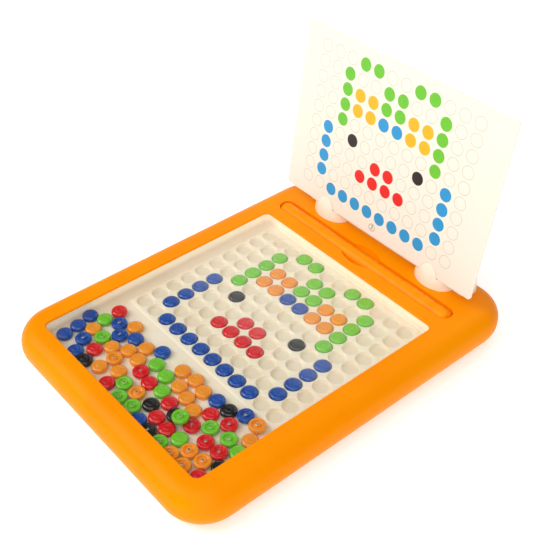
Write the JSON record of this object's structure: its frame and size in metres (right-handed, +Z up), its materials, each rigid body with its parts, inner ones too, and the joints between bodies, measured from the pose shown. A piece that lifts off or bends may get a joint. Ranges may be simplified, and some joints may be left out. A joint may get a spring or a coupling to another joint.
{
  "type": "magnetic bead drawing board",
  "caption": "Shallow rounded case with a clear window over a grid of wells and loose beads, a magnetic pen in a groove, and a pattern card in a plug-in stand.",
  "frame": {"origin": "centre of the case's footprint, on the surface that it stands on", "axes": "+X to the user's right, +Y away from the user along the longest side, +Z up"},
  "size_m": [0.1696, 0.2216, 0.1338],
  "materials": {
    "orange_case": "satin injection-moulded",
    "clear_window": "clear polished sheet plastic",
    "cream_plate": "satin moulded",
    "steel": "bright plated",
    "orange_pen": "satin injection-moulded",
    "white_stand": "satin moulded",
    "printed_card": "printed, matt laminated",
    "black_bead": "gloss",
    "red_bead": "gloss",
    "orange_bead": "gloss",
    "green_bead": "gloss",
    "blue_bead": "gloss"
  },
  "bodies": {
    "case": {"bead_plate": "cream_plate", "bottom_shell": "orange_case", "case_screws": "steel", "loose_bead_pins": "steel", "loose_beads_black": "black_bead", "loose_beads_blue": "blue_bead", "loose_beads_green": "green_bead", "loose_beads_orange": "orange_bead", "loose_beads_red": "red_bead", "seated_bead_pins": "steel", "seated_beads_black": "black_bead", "seated_beads_blue": "blue_bead", "seated_beads_green": "green_bead", "seated_beads_orange": "orange_bead", "seated_beads_red": "red_bead", "top_frame": "orange_case", "window_pane": "clear_window"},
    "pen": {"pen_barrel": "orange_pen", "pen_tail_cap": "orange_pen", "pen_nose": "orange_pen", "pen_magnet": "steel"},
    "stand": {"card_stand": "white_stand"},
    "card": {"pattern_card": "printed_card"},
    "left_runner": {"left_runner_bead": "red_bead", "left_runner_pin": "steel"},
    "right_runner": {"right_runner_bead": "orange_bead", "right_runner_pin": "steel"},
    "eye": {"eye_bead": "black_bead", "eye_bead_pin": "steel"}
  },
  "joints": [
    {"name": "pen_lift", "type": "slide", "parent": "case", "child": "pen", "axis": [0, 0, 1], "range_m": [0, 0.08]},
    {"name": "stand_unplug", "type": "slide", "parent": "case", "child": "stand", "axis": [0, 0, 1], "range_m": [0, 0.03]},
    {"name": "card_pull", "type": "slide", "parent": "stand", "child": "card", "axis": [0, 0.1461, 0.9893], "range_m": [0, 0.06]},
    {"name": "left_bead_run", "type": "slide", "parent": "case", "child": "left_runner", "axis": [0, 1, 0], "range_m": [0, 0.109]},
    {"name": "right_bead_run", "type": "slide", "parent": "case", "child": "right_runner", "axis": [0, 1, 0], "range_m": [0, 0.104]},
    {"name": "eye_bead_lift", "type": "slide", "parent": "case", "child": "eye", "axis": [0, 0, 1], "range_m": [0, 0.0043]}
  ]
}
